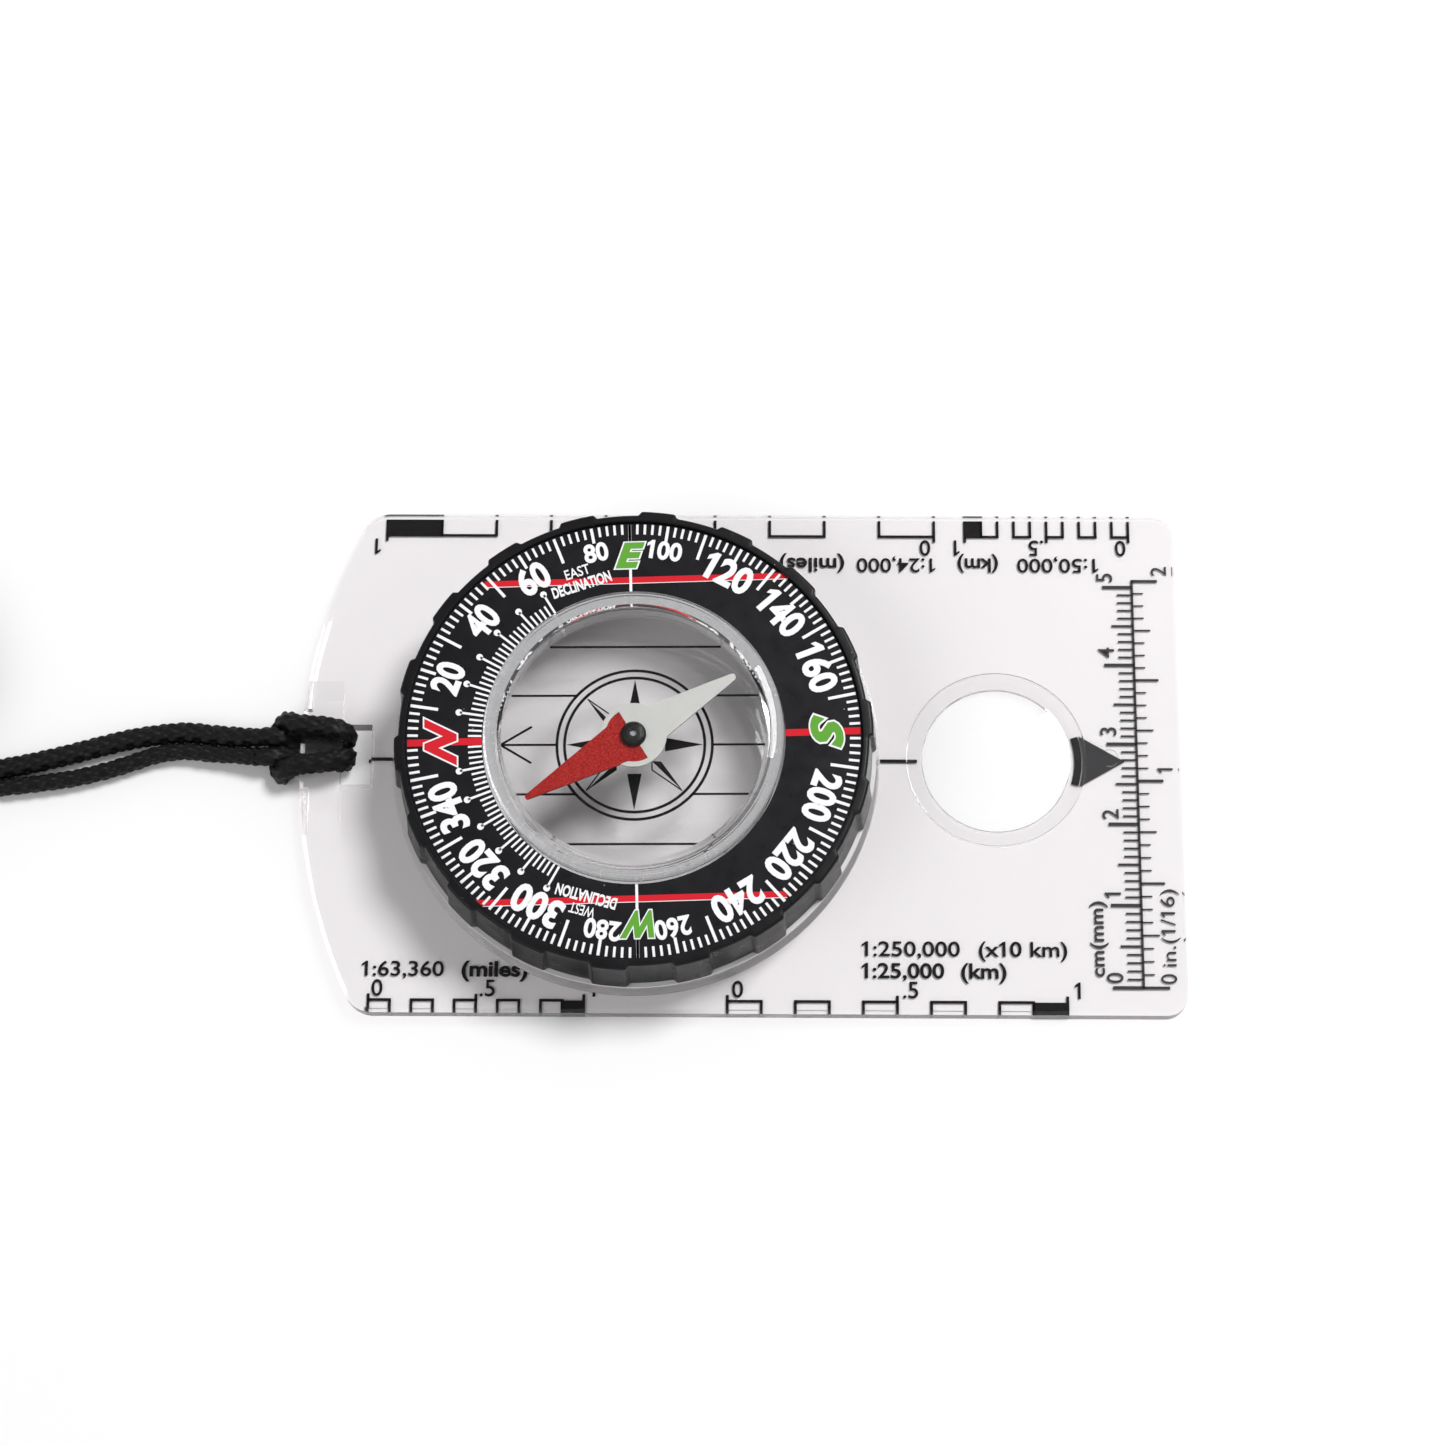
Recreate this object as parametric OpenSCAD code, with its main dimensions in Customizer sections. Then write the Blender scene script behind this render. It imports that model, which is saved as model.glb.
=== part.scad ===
// Baseplate compass: a clear acrylic plate with a magnifier, a turning dial that
// carries a liquid-filled capsule, a magnetised needle on a steel pivot, and a
// braided lanyard hitched round the bar at the plate's heel.
// Millimetres. +X is the direction of travel, +Z is up, and the origin is the
// middle of the plate's underside.

/* [Baseplate] */
// Length of the plate along the direction of travel
plate_l = 105.5; // [104:0.5:110]
// Width of the plate
plate_w = 62.4; // [61:0.2:66]
// Thickness of the plate
plate_t = 2.4; // [2.2:0.1:2.6]
// Radius of the bowed heel edge
heel_r = 68; // [60:1:90]
// Radius of the two corners at the heel
heel_corner_r = 3.6; // [2:0.2:5]
// Radius of the two corners at the nose
nose_corner_r = 2.6; // [1:0.2:5]
// Bevel along the plate's top edge
edge_bevel = 0.4; // [0.2:0.1:0.8]

/* [Magnifier] */
// Distance of the lens from the plate's middle
lens_x = 30.7; // [28:0.1:34]
// Radius of the clear lens
lens_r = 8.85; // [7:0.05:9.5]
// Radius of the flange that seats the lens
lens_flange_r = 10.75; // [10:0.05:12]
// Height of the domed top above the plate
lens_rise = 0.8; // [0.4:0.1:1.2]

/* [Dial] */
// Position of the dial's axis along the plate
dial_x = -12.4; // [-14:0.1:-10]
// Radius of the turning ring at its foot, between the grips
bezel_r = 28.2; // [27.9:0.1:28.2]
// Height of the ring's top edge above the surface the plate lies on
rim_z = 11.3; // [11.2:0.1:11.5]
// Number of finger grips round the ring
grips = 18; // [12:1:24]
// How far a grip stands out of the ring
grip_h = 0.5; // [0.2:0.1:0.6]
// Angle covered by one grip
grip_angle = 10; // [6:1:12]
// Radial clearance between the ring and the spigot it turns on
dial_gap = 0.05; // [0.02:0.01:0.1]

/* [Capsule] */
// Outer radius of the clear cover
capsule_r = 17.6; // [17.4:0.1:17.7]
// Height of the flat top of the cover
capsule_top = 13.4; // [13.3:0.1:13.9]
// Inner radius of the liquid space
well_r = 16; // [15.5:0.1:16]

/* [Needle] */
// Direction of the red end, anticlockwise from +X
needle_heading = 211.8; // [0:0.1:360]
// Length of the red end from the pivot
north_l = 14.7; // [12:0.1:15]
// Length of the white end from the pivot
south_l = 14.0; // [12:0.1:15]
// Radius of the white hub disc
hub_disc_r = 3.9; // [3.4:0.1:4.2]

/* [Lanyard] */
// Diameter of the braided cord
cord_d = 2.2; // [2:0.1:2.4]

/* [Hidden] */
$fn = 96;
eps = 0.01;

clear_tint = [0.86, 0.89, 0.91, 0.35];

// Heights of the stack under the dial
pedestal_z = 4.3;
slip_t = 0.3;
bezel_foot_z = pedestal_z + slip_t + 0.05;
ledge_z = bezel_foot_z + 1.05;
clip_z = ledge_z + 0.1;
clip_t = 0.6;
scale_seat_z = 9.5;
face_z = 10.7;

// Radii of the stack under the dial
pedestal_r = 29.2;
pedestal_top_r = 28.7;
spigot_r = 25.6;
spigot_bore_r = 24;
clip_groove_r = 25.1;
rim_in_r = 26.9;
grip_heading = 4.8;
scale_hole_r = 17.85;

// Heights inside the capsule
base_z = 6.2;
floor_z = 7.4;
joint_z = 10.5;
gasket_t = 0.2;
blade_z = 11;
blade_t = 0.4;
pin_tip_z = 11.5;

// Lens seat
lens_gap = 0.05;
lens_flange_z = 1.3;
lens_dome_r = (lens_r * lens_r + lens_rise * lens_rise) / (2 * lens_rise);

// Lanyard bar: the slot beside it, and the channel under it
heel_x = -plate_l / 2;
slot_x = [heel_x + 4.9, heel_x + 8.6];
slot_y = [-3.5, 4];
channel_x = [heel_x + 1.1, heel_x + 4.9];
channel_y = [-6.5, 7.2];
channel_h = 1.3;
notch_y = [-3.7, 6.2];
channel_ramp = 2.8;

// Round marks that the mould's pins leave in the plate's top
pin_marks = [[-50.3, 1.25], [44.25, 0.2]];
pin_mark_r = 1.05;
pin_mark_depth = 0.15;

// ---------- plate ----------

function arc(c, r, from, to, steps, skip = 0) =
    [for (i = [skip : steps - skip])
        let (a = from + (to - from) * i / steps) c + r * [cos(a), sin(a)]];

// Outline of the plate, moved inwards by inset: a straight nose with two round
// corners, and a bowed heel that runs tangent into its own two corners.
function plate_outline(inset) =
    let (
        nose = [plate_l / 2 - nose_corner_r, plate_w / 2 - nose_corner_r],
        bow = [heel_x + heel_r, 0],
        cy = plate_w / 2 - heel_corner_r,
        reach = heel_r - heel_corner_r,
        cx = bow.x - sqrt(reach * reach - cy * cy),
        bow_a = atan2(cy, cx - bow.x),
        nose_r = nose_corner_r - inset,
        corner_r = heel_corner_r - inset
    )
    concat(
        arc(nose, nose_r, 0, 90, 10),
        arc([cx, cy], corner_r, 90, bow_a, 10),
        arc(bow, heel_r - inset, bow_a, 360 - bow_a, 36, 1),
        arc([cx, -cy], corner_r, 360 - bow_a, 270, 10),
        arc([nose.x, -nose.y], nose_r, 270, 360, 10)
    );

// Clear ring that stands on the plate and carries the dial. Its inner spigot is
// the dial's bearing, with a groove for the retaining ring.
module pedestal() {
    rotate_extrude($fn = 180)
        polygon([
            [spigot_bore_r, plate_t - 0.2], [pedestal_r, plate_t - 0.2],
            [pedestal_r, plate_t + 0.2], [pedestal_top_r, pedestal_z],
            [spigot_r, pedestal_z], [spigot_r, clip_z],
            [clip_groove_r, clip_z], [clip_groove_r, clip_z + clip_t],
            [spigot_r, clip_z + clip_t], [spigot_r - 0.2, clip_z + clip_t + 0.3],
            [spigot_bore_r, clip_z + clip_t + 0.3]
        ]);
}

// Room for the cord: a slot beside the bar, a channel with ramped ends under it, and a
// notch that lets the cord out under the heel.
module lanyard_cuts() {
    translate([slot_x[0], slot_y[0], -1])
        cube([slot_x[1] - slot_x[0], slot_y[1] - slot_y[0], plate_t + 2]);
    translate([channel_x[0], 0, 0])
        rotate([90, 0, 90])
            linear_extrude(channel_x[1] - channel_x[0] + eps)
                polygon([
                    [channel_y[0] - channel_ramp, -1], [channel_y[1] + channel_ramp, -1],
                    [channel_y[1] + channel_ramp, 0], [channel_y[1], channel_h],
                    [channel_y[0], channel_h], [channel_y[0] - channel_ramp, 0]
                ]);
    translate([heel_x - 1, notch_y[0], -1])
        cube([channel_x[0] - heel_x + 2, notch_y[1] - notch_y[0], 1 + channel_h]);
}

module baseplate() {
    color(clear_tint)
        difference() {
            union() {
                hull() {
                    linear_extrude(plate_t - edge_bevel) polygon(plate_outline(0));
                    linear_extrude(plate_t) polygon(plate_outline(edge_bevel));
                }
                translate([dial_x, 0, 0]) pedestal();
            }
            translate([lens_x, 0, -1]) cylinder(r = lens_r + lens_gap, h = plate_t + 2);
            translate([lens_x, 0, lens_flange_z]) cylinder(r = lens_flange_r + lens_gap, h = 2);
            lanyard_cuts();
            for (at = pin_marks)
                translate([at.x, at.y, plate_t - pin_mark_depth])
                    cylinder(r = pin_mark_r, h = 1, $fn = 48);
        }
}

module magnifier_lens() {
    color(clear_tint)
        translate([lens_x, 0, 0]) {
            intersection() {
                translate([0, 0, plate_t + lens_rise - lens_dome_r])
                    sphere(r = lens_dome_r, $fn = 200);
                translate([0, 0, 0.1]) cylinder(r = lens_r, h = plate_t + lens_rise);
            }
            translate([0, 0, lens_flange_z])
                difference() {
                    cylinder(r = lens_flange_r, h = plate_t - lens_flange_z);
                    translate([0, 0, -1]) cylinder(r = lens_r - 0.1, h = plate_t + 1);
                }
        }
}

module slip_ring() {
    color("white")
        translate([dial_x, 0, pedestal_z])
            difference() {
                cylinder(r = bezel_r + grip_h, h = slip_t, $fn = 180);
                translate([0, 0, -1]) cylinder(r = spigot_r + 0.1, h = slip_t + 2, $fn = 180);
            }
}

// Split spring ring in the spigot's groove, over the ledge of the turning ring.
module retaining_ring() {
    color("silver")
        translate([dial_x, 0, clip_z])
            difference() {
                cylinder(r = spigot_r + 0.7, h = clip_t - 0.05, $fn = 180);
                translate([0, 0, -1]) cylinder(r = clip_groove_r + 0.05, h = clip_t + 2, $fn = 180);
                translate([20, -2, -1]) cube([10, 4, clip_t + 2]);
            }
}

// ---------- dial ----------

bezel_top_r = bezel_r - 0.5;

module bezel_ring() {
    foot = bezel_r + grip_h;
    head = bezel_top_r + grip_h;
    gap_angle = 360 / grips - grip_angle;
    color("black")
        translate([dial_x, 0, 0])
            difference() {
                rotate_extrude($fn = 180)
                    polygon([
                        [spigot_r + dial_gap, bezel_foot_z], [foot, bezel_foot_z],
                        [head, rim_z - 0.3], [head - 0.25, rim_z], [rim_in_r, rim_z],
                        [rim_in_r, scale_seat_z], [rim_in_r - 0.65, scale_seat_z],
                        [rim_in_r - 0.65, scale_seat_z - 0.6], [rim_in_r, scale_seat_z - 1.2],
                        [rim_in_r, ledge_z], [spigot_r + dial_gap, ledge_z]
                    ]);
                for (i = [0 : grips - 1])
                    rotate([0, 0, grip_heading + grip_angle / 2 + i * 360 / grips])
                        grip_gap(gap_angle);
            }
}

// Space between two neighbouring grips.
module grip_gap(gap_angle) {
    beyond = bezel_r + 4;
    rotate_extrude(angle = gap_angle, $fn = 180)
        polygon([
            [bezel_r, bezel_foot_z - 1], [bezel_r, bezel_foot_z],
            [bezel_top_r, rim_z - 0.3], [bezel_top_r - 0.25, rim_z],
            [bezel_top_r - 0.25, rim_z + 1], [beyond, rim_z + 1], [beyond, bezel_foot_z - 1]
        ]);
}

module scale_ring() {
    color([0.17, 0.16, 0.17])
        translate([dial_x, 0, scale_seat_z])
            difference() {
                cylinder(r = rim_in_r - 0.05, h = face_z - scale_seat_z, $fn = 180);
                translate([0, 0, -1]) cylinder(r = scale_hole_r, h = 4, $fn = 180);
            }
}

// ---------- capsule ----------

plug_z = 7.85;
plug_heading = 122;
plug_r = 0.4;
plug_head_r = 0.5;

module capsule_base() {
    flange_r = scale_hole_r + 1.7;
    cup_r = capsule_r - 0.1;
    color(clear_tint)
        translate([dial_x, 0, 0])
            difference() {
                rotate_extrude($fn = 180)
                    polygon([
                        [0, base_z], [cup_r - 0.3, base_z], [cup_r, base_z + 0.3],
                        [cup_r, scale_seat_z - 1.1], [flange_r, scale_seat_z - 1.1],
                        [flange_r, scale_seat_z], [cup_r, scale_seat_z],
                        [cup_r, joint_z], [well_r, joint_z],
                        [well_r, floor_z], [0, floor_z]
                    ]);
                rotate([0, 0, plug_heading])
                    translate([well_r - 1, 0, plug_z])
                        rotate([0, 90, 0]) cylinder(r = plug_r, h = 4, $fn = 48);
            }
}

module filler_plug() {
    color("gainsboro")
        translate([dial_x, 0, plug_z])
            rotate([0, 0, plug_heading])
                rotate([0, 90, 0]) {
                    translate([0, 0, well_r]) cylinder(r = plug_r, h = 1.8, $fn = 48);
                    translate([0, 0, capsule_r]) cylinder(r = plug_head_r, h = 0.5, $fn = 48);
                }
}

module capsule_gasket() {
    color("whitesmoke")
        translate([dial_x, 0, joint_z])
            difference() {
                cylinder(r = capsule_r - 0.4, h = gasket_t, $fn = 180);
                translate([0, 0, -1]) cylinder(r = well_r + 0.2, h = 3, $fn = 180);
            }
}

module capsule_cover() {
    skirt_z = joint_z + gasket_t;
    roof_z = capsule_top - 0.9;
    color(clear_tint)
        translate([dial_x, 0, 0])
            rotate_extrude($fn = 180)
                polygon([
                    [0, roof_z], [well_r - 0.5, roof_z], [well_r, roof_z - 0.5],
                    [well_r, skirt_z], [capsule_r, skirt_z],
                    [capsule_r, capsule_top - 1.1], [capsule_r - 0.25, capsule_top - 0.5],
                    [capsule_r - 0.8, capsule_top - 0.12], [capsule_r - 1.5, capsule_top],
                    [0, capsule_top]
                ]);
}

pin_r = 0.4;
post_top_z = 8.9;

module pivot_post() {
    color("goldenrod")
        translate([dial_x, 0, floor_z])
            difference() {
                cylinder(r1 = 1.6, r2 = 1, h = post_top_z - floor_z, $fn = 48);
                translate([0, 0, 0.4]) cylinder(r = pin_r, h = 3, $fn = 48);
            }
}

module pivot_pin() {
    point_h = 0.6;
    color("silver")
        translate([dial_x, 0, floor_z + 0.4]) {
            cylinder(r = pin_r, h = pin_tip_z - point_h - floor_z - 0.4, $fn = 48);
            translate([0, 0, pin_tip_z - point_h - floor_z - 0.4])
                cylinder(r1 = pin_r, r2 = 0.04, h = point_h, $fn = 48);
        }
}

// ---------- needle ----------

cup_r = 0.9;
cup_h = 0.9;
red_hub_r = 3.3;
cap_r = 1.5;

module at_pivot() {
    translate([dial_x, 0, 0]) rotate([0, 0, needle_heading]) children();
}

// Flat tapered blade with a round tip, drawn along +X from the pivot.
module blade(length, hub_r, root_w, tip_w) {
    circle(r = hub_r);
    polygon([[0, -root_w], [length - tip_w, -tip_w], [length - tip_w, tip_w], [0, root_w]]);
    translate([length - tip_w, 0]) circle(r = tip_w, $fn = 32);
}

module north_outline() {
    intersection() {
        blade(north_l, red_hub_r, 2.85, 0.32);
        translate([0, -20]) square([20, 40]);
    }
}

module needle_north() {
    color("red")
        at_pivot()
            translate([0, 0, blade_z])
                linear_extrude(blade_t)
                    difference() {
                        north_outline();
                        circle(r = cup_r);
                    }
}

module needle_south() {
    color("ivory")
        at_pivot()
            translate([0, 0, blade_z])
                linear_extrude(blade_t)
                    difference() {
                        rotate(180) blade(south_l, hub_disc_r, 2.75, 0.45);
                        north_outline();
                        circle(r = cup_r);
                    }
}

module needle_magnet() {
    magnet = [11, 1.6, 0.4];
    color("dimgray")
        at_pivot()
            difference() {
                translate([-magnet.x / 2, -magnet.y / 2, blade_z - magnet.z]) cube(magnet);
                translate([0, 0, blade_z - 1]) cylinder(r = 0.75, h = 2, $fn = 48);
            }
}

module jewel_cup() {
    color("lightsteelblue")
        translate([dial_x, 0, blade_z])
            difference() {
                cylinder(r = cup_r, h = cup_h, $fn = 48);
                translate([0, 0, -eps]) cylinder(r1 = 0.6, r2 = 0.02, h = 0.65, $fn = 48);
            }
}

module hub_cap() {
    cap_z = blade_z + blade_t;
    seat_z = blade_z + cup_h;
    color("black")
        translate([dial_x, 0, 0])
            rotate_extrude($fn = 48)
                polygon([
                    [cup_r, cap_z], [cap_r, cap_z], [cap_r, cap_z + 0.4],
                    [cap_r - 0.25, cap_z + 0.7], [0.8, cap_z + 0.85], [0.4, cap_z + 0.85],
                    [0.4, seat_z], [cup_r, seat_z]
                ]);
}

// ---------- lanyard ----------

cord_r = cord_d / 2;

// Two strands leave the hitch side by side and wind together into one coil.
coil_c = [-108.5, 9];
coil_in_r = 11.5;
coil_out_r = 13.75;
coil_layers = 3;

// Middle line of the hitch, from a strand inwards: under the bar, up the slot,
// back over the bar, down past the heel, and across under both strands. The
// fourth number is how far the cord is squeezed flat there.
hitch_half = [
    [-58, 2.45, 2, 1], [-56.7, 2.5, 2.3, 0.95], [-55.3, 2.45, 2.2, 0.85],
    [-54, 2.4, 1.35, 0.65], [-52.9, 2.4, 0.7, 0.55], [-50.8, 2.4, 0.64, 0.55],
    [-48.6, 2.45, 0.66, 0.55], [-47.2, 2.5, 1, 0.65], [-46.75, 2.6, 2, 0.75],
    [-47.3, 2.9, 3, 0.85], [-48.8, 3.4, 3.4, 0.85], [-50.8, 3.65, 3.4, 0.85],
    [-52.9, 3.85, 3.35, 0.85], [-54.4, 4.4, 2.7, 0.85], [-55.1, 4.7, 1.6, 0.75],
    [-55.7, 4.2, 0.75, 0.6], [-56, 3, 0.62, 0.55]
];
hitch_mid_y = 1.25;
hitch_route = concat(
    hitch_half,
    [[-56.1, hitch_mid_y, 0.62, 0.55]],
    [for (i = [len(hitch_half) - 1 : -1 : 0])
        let (p = hitch_half[i]) [p[0], 2 * hitch_mid_y - p[1], p[2], p[3]]]
);

strand_a_route = [
    [-58, 2.45, 2], [-60.5, 2.6, 1.6], [-63.5, 2.95, 1.25], [-66.7, 3.3, 1.1],
    [-70, 3, 1.1], [-73.5, 2.4, 1.1], [-77, 1.5, 1.1], [-81, 0.4, 1.1],
    [-85, -0.6, 1.1], [-89, -1.4, 1.1], [-93, -2, 1.1], [-97, -2.35, 1.1],
    [-101, -2.5, 1.1]
];
strand_b_route = [
    [-58, 0.05, 2], [-60.5, 0.35, 1.6], [-63.5, 0.6, 1.25], [-66.7, 0.95, 1.1],
    [-70, 0.5, 1.1], [-73, -0.5, 1.1], [-76, -1.5, 1.1], [-80, -2.5, 1.1],
    [-84.5, -3.2, 1.1], [-89, -3.75, 1.1], [-93, -4.3, 1.1], [-97, -4.65, 1.1],
    [-101, -4.75, 1.1], [-105, -4.75, 1.1]
];

function unit(v) = v / norm(v);
function place(p) = [p[0], p[1], p[2]];
function squeeze(p) = len(p) > 3 ? p[3] : 1;

// Direction of travel at point i of a route.
function heading(route, i) =
    unit(place(route[min(i + 1, len(route) - 1)]) - place(route[max(i - 1, 0)]));

// Side directions carried along the route without twisting.
function sides(route, i, side, found = []) =
    i == len(route) ? found
    : let (
        t = heading(route, i),
        s = unit(side - (side * t) * t)
    )
    sides(route, i + 1, s, concat(found, [s]));

// One closed tube along a route, with a ring of points at each of its points.
module tube(route, r, count = 8) {
    side = sides(route, 0, [0, 1, 0]);
    rings = [for (i = [0 : len(route) - 1])
        let (
            t = heading(route, i),
            up = cross(t, side[i]),
            flat = squeeze(route[i]),
            wide = r * (flat < 1 ? 1 + 0.3 * (1 - flat) : 1)
        )
        for (k = [0 : count - 1])
            let (a = (k + 0.5) * 360 / count)
            place(route[i]) + wide * cos(a) * side[i] + r * flat * sin(a) * up];
    last = (len(route) - 1) * count;
    walls = [for (i = [0 : len(route) - 2], k = [0 : count - 1])
        let (a = i * count + k, b = i * count + (k + 1) % count)
        [a, b, b + count, a + count]];
    near = [for (k = [count - 1 : -1 : 0]) k];
    far = [for (k = [0 : count - 1]) last + k];
    polyhedron(rings, concat(walls, [near, far]), convexity = 6);
}

module lanyard_hitch() {
    color([0.06, 0.06, 0.06]) tube(hitch_route, cord_r);
}

module lanyard_strand_a() {
    color([0.06, 0.06, 0.06]) tube(strand_a_route, cord_r);
}

module lanyard_strand_b() {
    color([0.06, 0.06, 0.06]) tube(strand_b_route, cord_r);
}

module lanyard_coil() {
    edge = 0.8;
    in_r = coil_in_r - cord_r;
    out_r = coil_out_r + cord_r;
    top = coil_layers * cord_d;
    color([0.06, 0.06, 0.06])
        translate([coil_c.x, coil_c.y, 0])
            rotate_extrude($fn = 120)
                polygon([
                    [in_r + edge, 0], [out_r - edge, 0], [out_r, edge], [out_r, top - edge],
                    [out_r - edge, top], [in_r + edge, top], [in_r, top - edge], [in_r, edge]
                ]);
}

knot_heading = 130;
knot_r = 2.6;

module lanyard_knot() {
    middle_r = (coil_in_r + coil_out_r) / 2;
    color([0.06, 0.06, 0.06])
        translate([coil_c.x, coil_c.y, coil_layers * cord_d])
            rotate([0, 0, knot_heading])
                translate([middle_r, 0, 0])
                    cylinder(r1 = knot_r, r2 = knot_r - 0.8, h = 4.4, $fn = 32);
}

baseplate();
magnifier_lens();
slip_ring();
retaining_ring();
bezel_ring();
scale_ring();
capsule_base();
capsule_gasket();
capsule_cover();
filler_plug();
pivot_post();
pivot_pin();
needle_north();
needle_south();
needle_magnet();
jewel_cup();
hub_cap();
lanyard_hitch();
lanyard_strand_a();
lanyard_strand_b();
lanyard_coil();
lanyard_knot();
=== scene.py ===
"""Baseplate compass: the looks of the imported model, in metres, in its own frame.

Lengths in this script are in millimetres unless a name says otherwise, and become
metres where a mesh is made.
"""
import math

import bpy
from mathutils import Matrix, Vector


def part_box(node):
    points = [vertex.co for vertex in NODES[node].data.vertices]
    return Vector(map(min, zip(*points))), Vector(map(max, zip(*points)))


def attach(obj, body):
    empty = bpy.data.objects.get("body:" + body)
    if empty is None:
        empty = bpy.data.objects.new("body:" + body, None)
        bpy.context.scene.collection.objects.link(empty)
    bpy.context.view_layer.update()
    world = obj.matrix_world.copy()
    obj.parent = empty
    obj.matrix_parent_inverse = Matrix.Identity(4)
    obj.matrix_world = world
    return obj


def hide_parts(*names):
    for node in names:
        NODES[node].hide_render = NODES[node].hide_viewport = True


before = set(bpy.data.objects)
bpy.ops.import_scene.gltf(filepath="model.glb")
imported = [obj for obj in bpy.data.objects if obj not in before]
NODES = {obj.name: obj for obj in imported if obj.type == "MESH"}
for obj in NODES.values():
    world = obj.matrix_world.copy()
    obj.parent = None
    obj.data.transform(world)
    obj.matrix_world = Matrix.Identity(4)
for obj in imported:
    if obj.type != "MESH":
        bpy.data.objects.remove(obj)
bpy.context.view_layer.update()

MM = 0.001


def span(node):
    """Lowest and highest corner of a CAD node, in millimetres."""
    low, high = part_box(node)
    return low / MM, high / MM


def half_width(low, high):
    return (high.x - low.x) / 2


PLATE_LOW, PLATE_HIGH = span("baseplate")
SCALE_LOW, SCALE_HIGH = span("scale_ring")
BEZEL_LOW, BEZEL_HIGH = span("bezel_ring")
LENS_LOW, LENS_HIGH = span("magnifier_lens")
DIAL = (SCALE_LOW + SCALE_HIGH) / 2
LENS = (LENS_LOW + LENS_HIGH) / 2
FACE_R = half_width(SCALE_LOW, SCALE_HIGH)
BEZEL_R = half_width(BEZEL_LOW, BEZEL_HIGH)
COVER_R = half_width(*span("capsule_cover"))
FACE_Z = SCALE_HIGH.z
# The pivot post stands on the capsule's floor
FLOOR_Z = span("pivot_post")[0].z
EDGE_Y = PLATE_HIGH.y


# ---------- camera ----------

def make_camera():
    """Looks down on the plate from the front, as a picture of a product on a table does."""
    data = bpy.data.cameras.new("camera")
    data.sensor_width = 36
    data.lens = 85.83
    camera = bpy.data.objects.new("camera", data)
    camera.location = Vector((2.5, -120.33, 396.96)) * MM
    camera.rotation_euler = [math.radians(a) for a in (17.553, 0.538, 0.401)]
    bpy.context.scene.collection.objects.link(camera)
    bpy.context.scene.camera = camera


make_camera()


# ---------- finishes ----------

class Finish:
    """A procedural material round one Principled shader."""

    def __init__(self, name, colour, rough, **sockets):
        self.material = bpy.data.materials.new(name)
        self.material.use_nodes = True
        self.tree = self.material.node_tree
        self.shader = self.tree.nodes["Principled BSDF"]
        self.output = self.tree.nodes["Material Output"]
        self.place = self.add("ShaderNodeTexCoord").outputs["Object"]
        self.set(self.shader, "Base Color", (*colour, 1))
        self.set(self.shader, "Roughness", rough)
        for socket, value in sockets.items():
            self.set(self.shader, socket.replace("_", " "), value)

    def add(self, kind, **inputs):
        node = self.tree.nodes.new(kind)
        for socket, value in inputs.items():
            self.set(node, socket.replace("_", " "), value)
        return node

    @staticmethod
    def set(node, socket, value):
        node.inputs[socket].default_value = value

    def join(self, source, node, socket):
        self.tree.links.new(source, node.inputs[socket])

    def stretched(self, along):
        """Object coordinates scaled by three factors, for grain that runs one way."""
        scaled = self.add("ShaderNodeMapping", Scale=along)
        self.join(self.place, scaled, "Vector")
        return scaled.outputs["Vector"]

    def grain(self, size, detail=4.0, place=None):
        """Noise whose features are about `size` millimetres across."""
        field = self.add("ShaderNodeTexNoise", Scale=1 / (size * MM), Detail=detail)
        self.join(place or self.place, field, "Vector")
        return field.outputs["Fac"]

    def specks(self, spacing, radius):
        """1 inside small scattered dots, 0 between them."""
        cells = self.add("ShaderNodeTexVoronoi", Scale=1 / (spacing * MM), Randomness=1.0)
        self.join(self.place, cells, "Vector")
        return self.between(cells.outputs["Distance"], radius, radius * 0.6)

    def between(self, source, low, high, to_low=0.0, to_high=1.0):
        """Maps a value's range low to high onto to_low to to_high, and clamps it."""
        ramp = self.add("ShaderNodeMapRange")
        for socket, value in zip(("From Min", "From Max", "To Min", "To Max"),
                                 (low, high, to_low, to_high)):
            self.set(ramp, socket, value)
        self.join(source, ramp, "Value")
        return ramp.outputs["Result"]

    def blend(self, share, first, second):
        """Colour that goes from first to second as share goes from 0 to 1."""
        mix = self.add("ShaderNodeMix")
        mix.data_type = "RGBA"
        colours = [s for s in mix.inputs if s.type == "RGBA"]
        for socket, value in zip(colours, (first, second)):
            if isinstance(value, tuple):
                socket.default_value = (*value, 1)
            else:
                self.tree.links.new(value, socket)
        self.join(share, mix, "Factor")
        return next(s for s in mix.outputs if s.type == "RGBA")

    def colour(self, source):
        self.join(source, self.shader, "Base Color")
        return self

    def rough(self, source, low, high):
        self.join(self.between(source, 0.3, 0.7, low, high), self.shader, "Roughness")
        return self

    def bump(self, source, height, strength=1.0):
        """Relief `height` millimetres deep."""
        relief = self.add("ShaderNodeBump", Strength=strength, Distance=height * MM)
        self.join(source, relief, "Height")
        self.join(relief.outputs["Normal"], self.shader, "Normal")
        return self

    def see_through(self, shade):
        """Lets lamps reach what lies behind clear plastic, dimmed to `shade` at each face."""
        surface = self.shader.outputs["BSDF"]
        for ray in ("Is Diffuse Ray", "Is Shadow Ray"):
            path = self.add("ShaderNodeLightPath")
            clear = self.add("ShaderNodeBsdfTransparent", Color=(*shade, 1))
            mix = self.add("ShaderNodeMixShader")
            self.join(path.outputs[ray], mix, 0)
            self.tree.links.new(surface, mix.inputs[1])
            self.tree.links.new(clear.outputs["BSDF"], mix.inputs[2])
            surface = mix.outputs["Shader"]
        self.join(surface, self.output, "Surface")
        return self


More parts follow.
